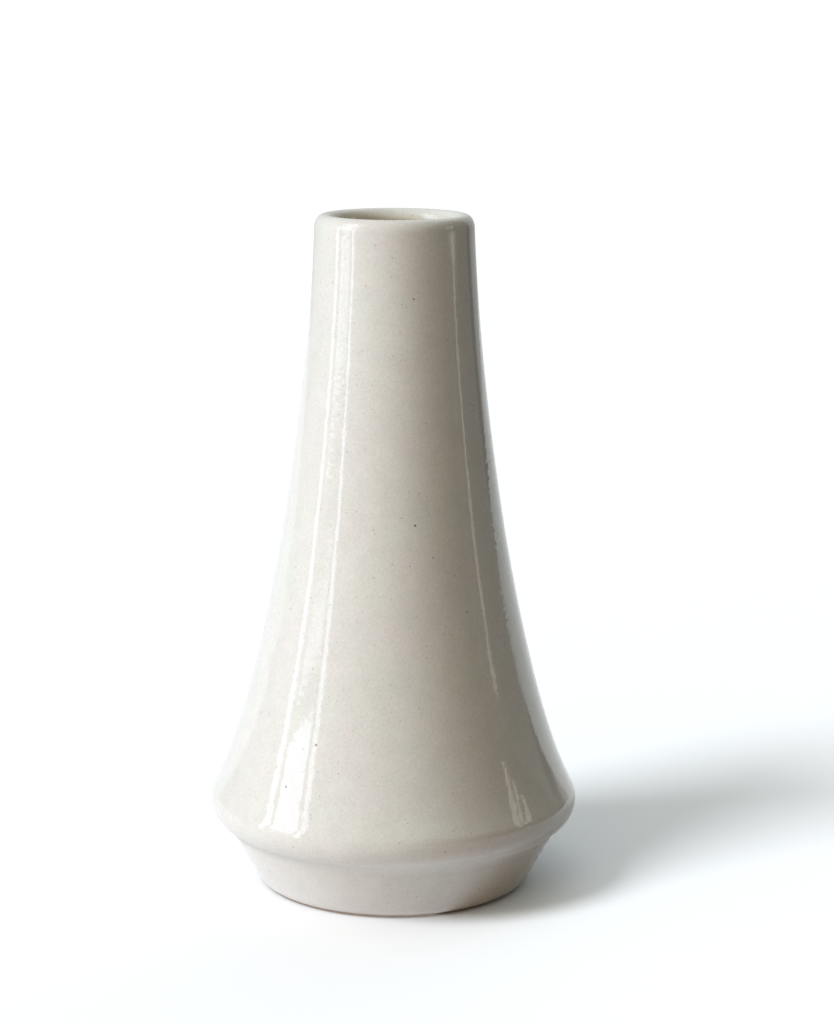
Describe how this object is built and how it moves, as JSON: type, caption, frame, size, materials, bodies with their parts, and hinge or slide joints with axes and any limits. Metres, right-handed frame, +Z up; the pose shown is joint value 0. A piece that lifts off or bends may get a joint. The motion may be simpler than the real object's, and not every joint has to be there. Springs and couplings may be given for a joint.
{
  "type": "ceramic bud vase",
  "caption": "Glazed stoneware bud vase with a narrow round mouth, a flared body, a low rounded shoulder and a smaller tucked-in foot.",
  "frame": {"origin": "on the table, under the middle of the foot ring", "axes": "+Z up along the vase's axis of revolution, towards the mouth; X and Y lie in the table"},
  "size_m": [0.0904, 0.0904, 0.165],
  "materials": {
    "bare_stoneware": "bare fired clay, fine matt grain",
    "outer_glaze": "gloss warm grey-white glaze with fine iron specks",
    "liner_glaze": "gloss warm grey-white liner glaze, same batch as the outside"
  },
  "bodies": {
    "root": {"stoneware_body": "bare_stoneware", "outer_glaze": "outer_glaze", "liner_glaze": "liner_glaze"}
  },
  "joints": []
}
